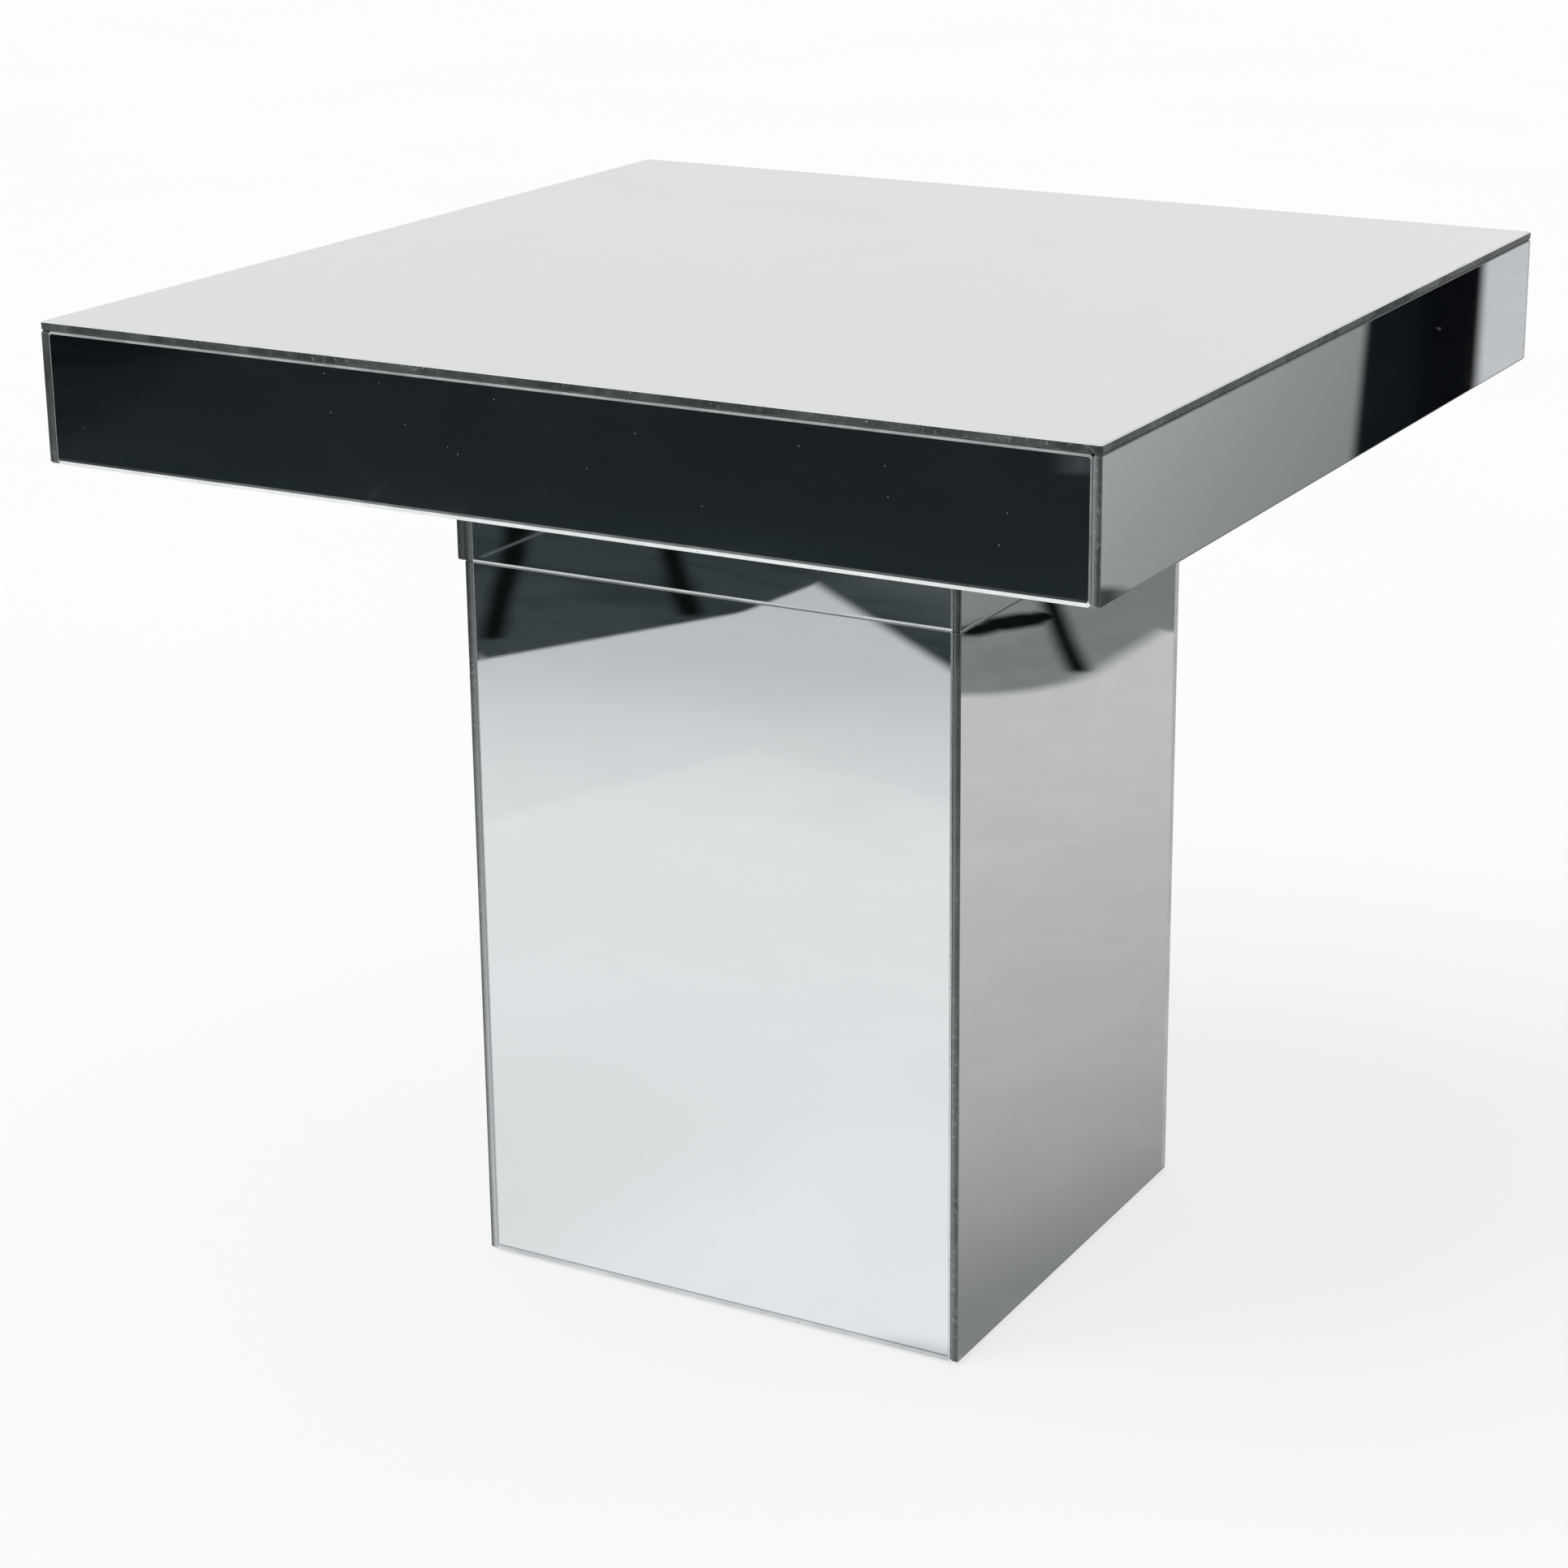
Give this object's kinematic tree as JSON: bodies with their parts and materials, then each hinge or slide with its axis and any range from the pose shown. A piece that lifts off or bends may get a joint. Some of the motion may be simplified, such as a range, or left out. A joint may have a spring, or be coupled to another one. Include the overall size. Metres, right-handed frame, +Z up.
{
  "type": "mirrored pedestal table",
  "caption": "Square pedestal table clad in mirror glass: a thick box top with a short neck that lifts off a narrower square plinth.",
  "frame": {"origin": "on the floor under the middle of the table", "axes": "+Z up, +X to the right along the front, the front faces -Y"},
  "size_m": [0.8, 0.8, 0.75],
  "materials": {
    "mirror_glass": "silvered 6 mm glass with ground arrises and polished edges",
    "fibreboard": "raw medium-density fibreboard",
    "black_board": "satin black paint on fibreboard",
    "softwood": "planed pine",
    "steel": "zinc plated",
    "nylon": "moulded black nylon"
  },
  "bodies": {
    "plinth": {"plinth_mirror_front": "mirror_glass", "plinth_mirror_back": "mirror_glass", "plinth_mirror_left": "mirror_glass", "plinth_mirror_right": "mirror_glass", "plinth_wall_front": "fibreboard", "plinth_wall_back": "fibreboard", "plinth_wall_left": "fibreboard", "plinth_wall_right": "fibreboard", "cap_board": "black_board", "middle_board": "fibreboard", "base_board": "black_board", "corner_batten_front_left": "softwood", "corner_batten_front_right": "softwood", "corner_batten_back_left": "softwood", "corner_batten_back_right": "softwood", "locating_batten_front": "softwood", "locating_batten_back": "softwood", "locating_batten_left": "softwood", "locating_batten_right": "softwood", "locating_screw_front": "steel", "locating_screw_back": "steel", "locating_screw_left": "steel", "locating_screw_right": "steel", "glide_front_left": "nylon", "glide_front_right": "nylon", "glide_back_left": "nylon", "glide_back_right": "nylon"},
    "top": {"top_mirror": "mirror_glass", "apron_mirror_front": "mirror_glass", "apron_mirror_back": "mirror_glass", "apron_mirror_left": "mirror_glass", "apron_mirror_right": "mirror_glass", "top_board": "fibreboard", "apron_rail_front": "fibreboard", "apron_rail_back": "fibreboard", "apron_rail_left": "fibreboard", "apron_rail_right": "fibreboard", "rib_front": "fibreboard", "rib_back": "fibreboard", "rib_left": "fibreboard", "rib_right": "fibreboard", "underside_board": "black_board", "neck_mirror_front": "mirror_glass", "neck_mirror_back": "mirror_glass", "neck_mirror_left": "mirror_glass", "neck_mirror_right": "mirror_glass", "neck_cover_strip_left": "mirror_glass", "neck_wall_front": "fibreboard", "neck_wall_back": "fibreboard", "neck_wall_left": "fibreboard", "neck_wall_right": "fibreboard", "neck_corner_block_front_left": "softwood", "neck_corner_block_front_right": "softwood", "neck_corner_block_back_left": "softwood", "neck_corner_block_back_right": "softwood", "neck_screw_front_left": "steel", "neck_screw_front_right": "steel", "neck_screw_back_left": "steel", "neck_screw_back_right": "steel"}
  },
  "joints": [
    {"name": "top_lift", "type": "slide", "parent": "plinth", "child": "top", "axis": [0, 0, 1], "range_m": [0, 0.12]}
  ]
}
